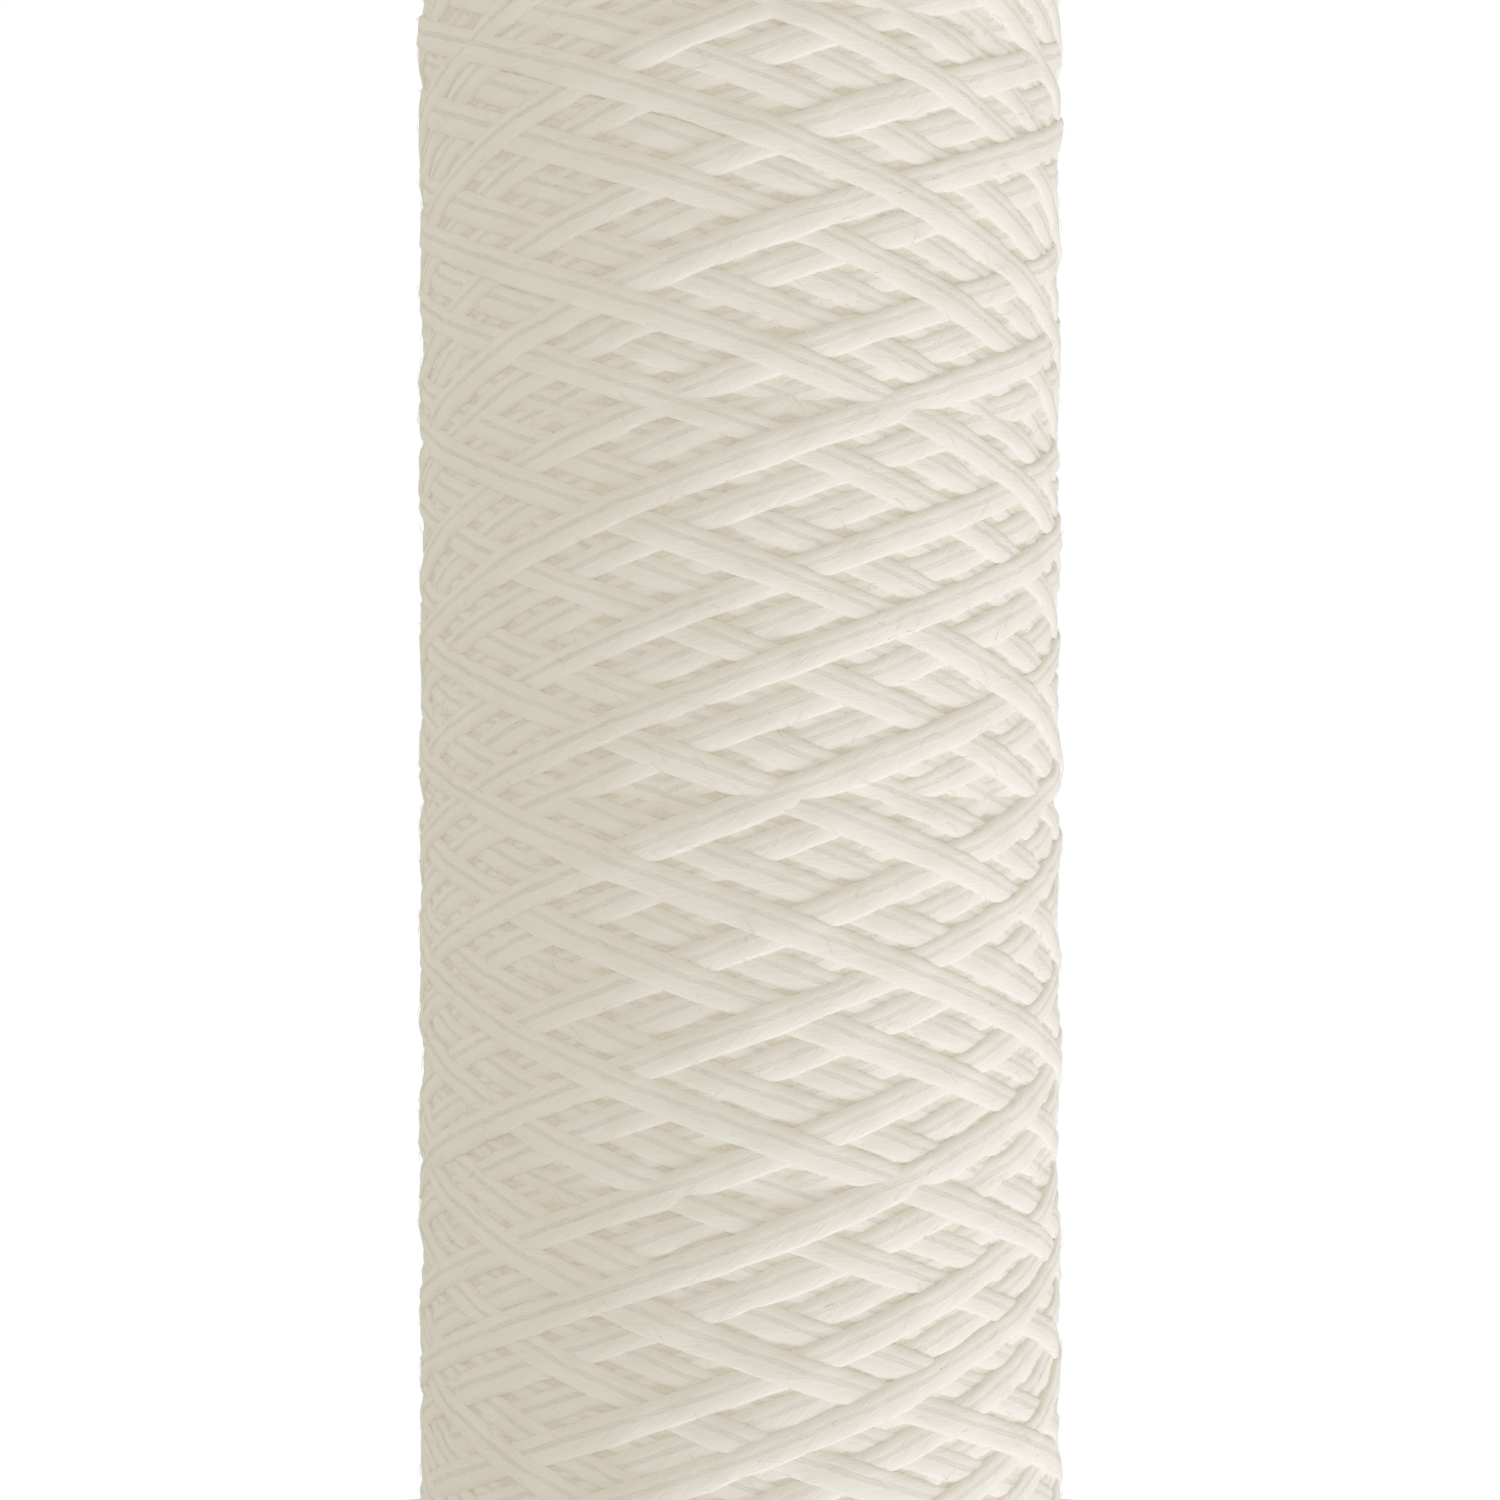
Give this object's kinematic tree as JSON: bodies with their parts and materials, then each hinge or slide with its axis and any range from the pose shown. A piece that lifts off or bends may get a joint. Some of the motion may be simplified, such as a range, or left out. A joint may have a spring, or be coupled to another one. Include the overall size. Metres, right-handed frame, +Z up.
{
  "type": "string-wound tube",
  "caption": "Hollow upright tube of soft off-white yarn, cross-wound in an open diamond pattern over a slotted core, with a foam ring at each open end.",
  "frame": {"origin": "centre of the bottom gasket's outer face, on the tube's axis", "axes": "+Z up along the tube's axis, towards the top gasket; +X through the middle of the core cover's lap"},
  "size_m": [0.0636, 0.0634, 0.254],
  "materials": {
    "yarn": "soft, slightly hairy off-white yarn",
    "cover_fabric": "thin bonded non-woven sheet",
    "core_plastic": "moulded natural polypropylene, satin",
    "collar_plastic": "moulded white polypropylene, satin",
    "gasket_foam": "closed-cell foam, matt"
  },
  "bodies": {
    "root": {"core_tube": "core_plastic", "core_cover": "cover_fabric", "inner_winding": "yarn", "outer_winding": "yarn", "bottom_collar": "collar_plastic", "top_collar": "collar_plastic", "bottom_gasket": "gasket_foam", "top_gasket": "gasket_foam"}
  },
  "joints": []
}
